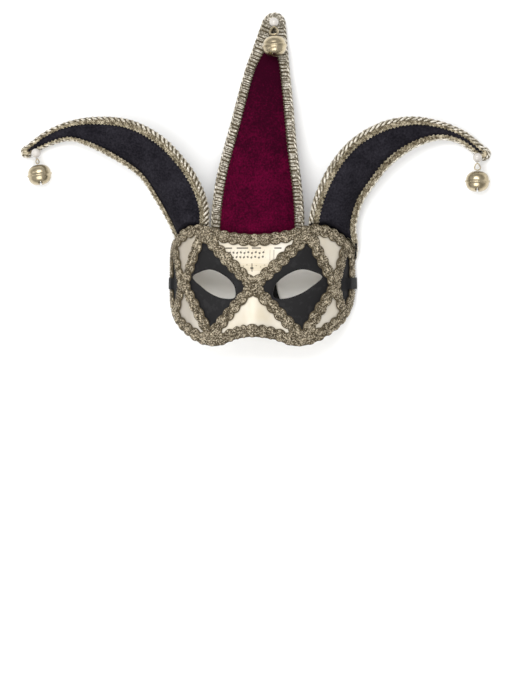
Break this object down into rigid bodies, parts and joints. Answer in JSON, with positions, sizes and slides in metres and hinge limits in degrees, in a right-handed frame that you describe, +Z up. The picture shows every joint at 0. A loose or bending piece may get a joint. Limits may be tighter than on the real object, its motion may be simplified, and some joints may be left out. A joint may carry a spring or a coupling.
{
  "type": "harlequin mask",
  "caption": "Venetian style half mask with black diamonds round almond eye holes, metallic braid, and velvet jester horns that end in pearls and jingle bells.",
  "frame": {"origin": "on the table, under the middle of the box round the mask as it lies face up, without its ties", "axes": "+X across the face, +Y up the face towards the horn tips, +Z up, out of the face"},
  "size_m": [0.4062, 0.2848, 0.0683],
  "materials": {
    "printed_paper": "cream printed paper with matt black painted diamonds",
    "antique_braid": "scalloped gimp braid of dark gold metallic yarn",
    "silver_braid": "pale gold and silver metallic braid",
    "black_velvet": "short pile velvet",
    "burgundy_velvet": "short pile velvet",
    "pale_gold": "polished pale gold plating",
    "gold_wire": "bright wire",
    "pearl": "pearlescent",
    "steel_ball": "bright",
    "black_satin": "satin ribbon"
  },
  "bodies": {
    "root": {"mask_shell": "printed_paper", "rim_braid": "antique_braid", "diamond_braid_left": "antique_braid", "side_braid_left": "antique_braid", "diamond_braid_right": "antique_braid", "side_braid_right": "antique_braid", "horn_left": "black_velvet", "horn_braid_left": "silver_braid", "pearl_left": "pearl", "bell_loop_left": "gold_wire", "bell_left": "pale_gold", "bell_ball_left": "steel_ball", "horn_centre": "burgundy_velvet", "horn_braid_centre": "silver_braid", "pearl_centre": "pearl", "bell_loop_centre": "gold_wire", "bell_centre": "pale_gold", "bell_ball_centre": "steel_ball", "horn_right": "black_velvet", "horn_braid_right": "silver_braid", "pearl_right": "pearl", "bell_loop_right": "gold_wire", "bell_right": "pale_gold", "bell_ball_right": "steel_ball", "ribbon_left": "black_satin", "ribbon_right": "black_satin"}
  },
  "joints": []
}
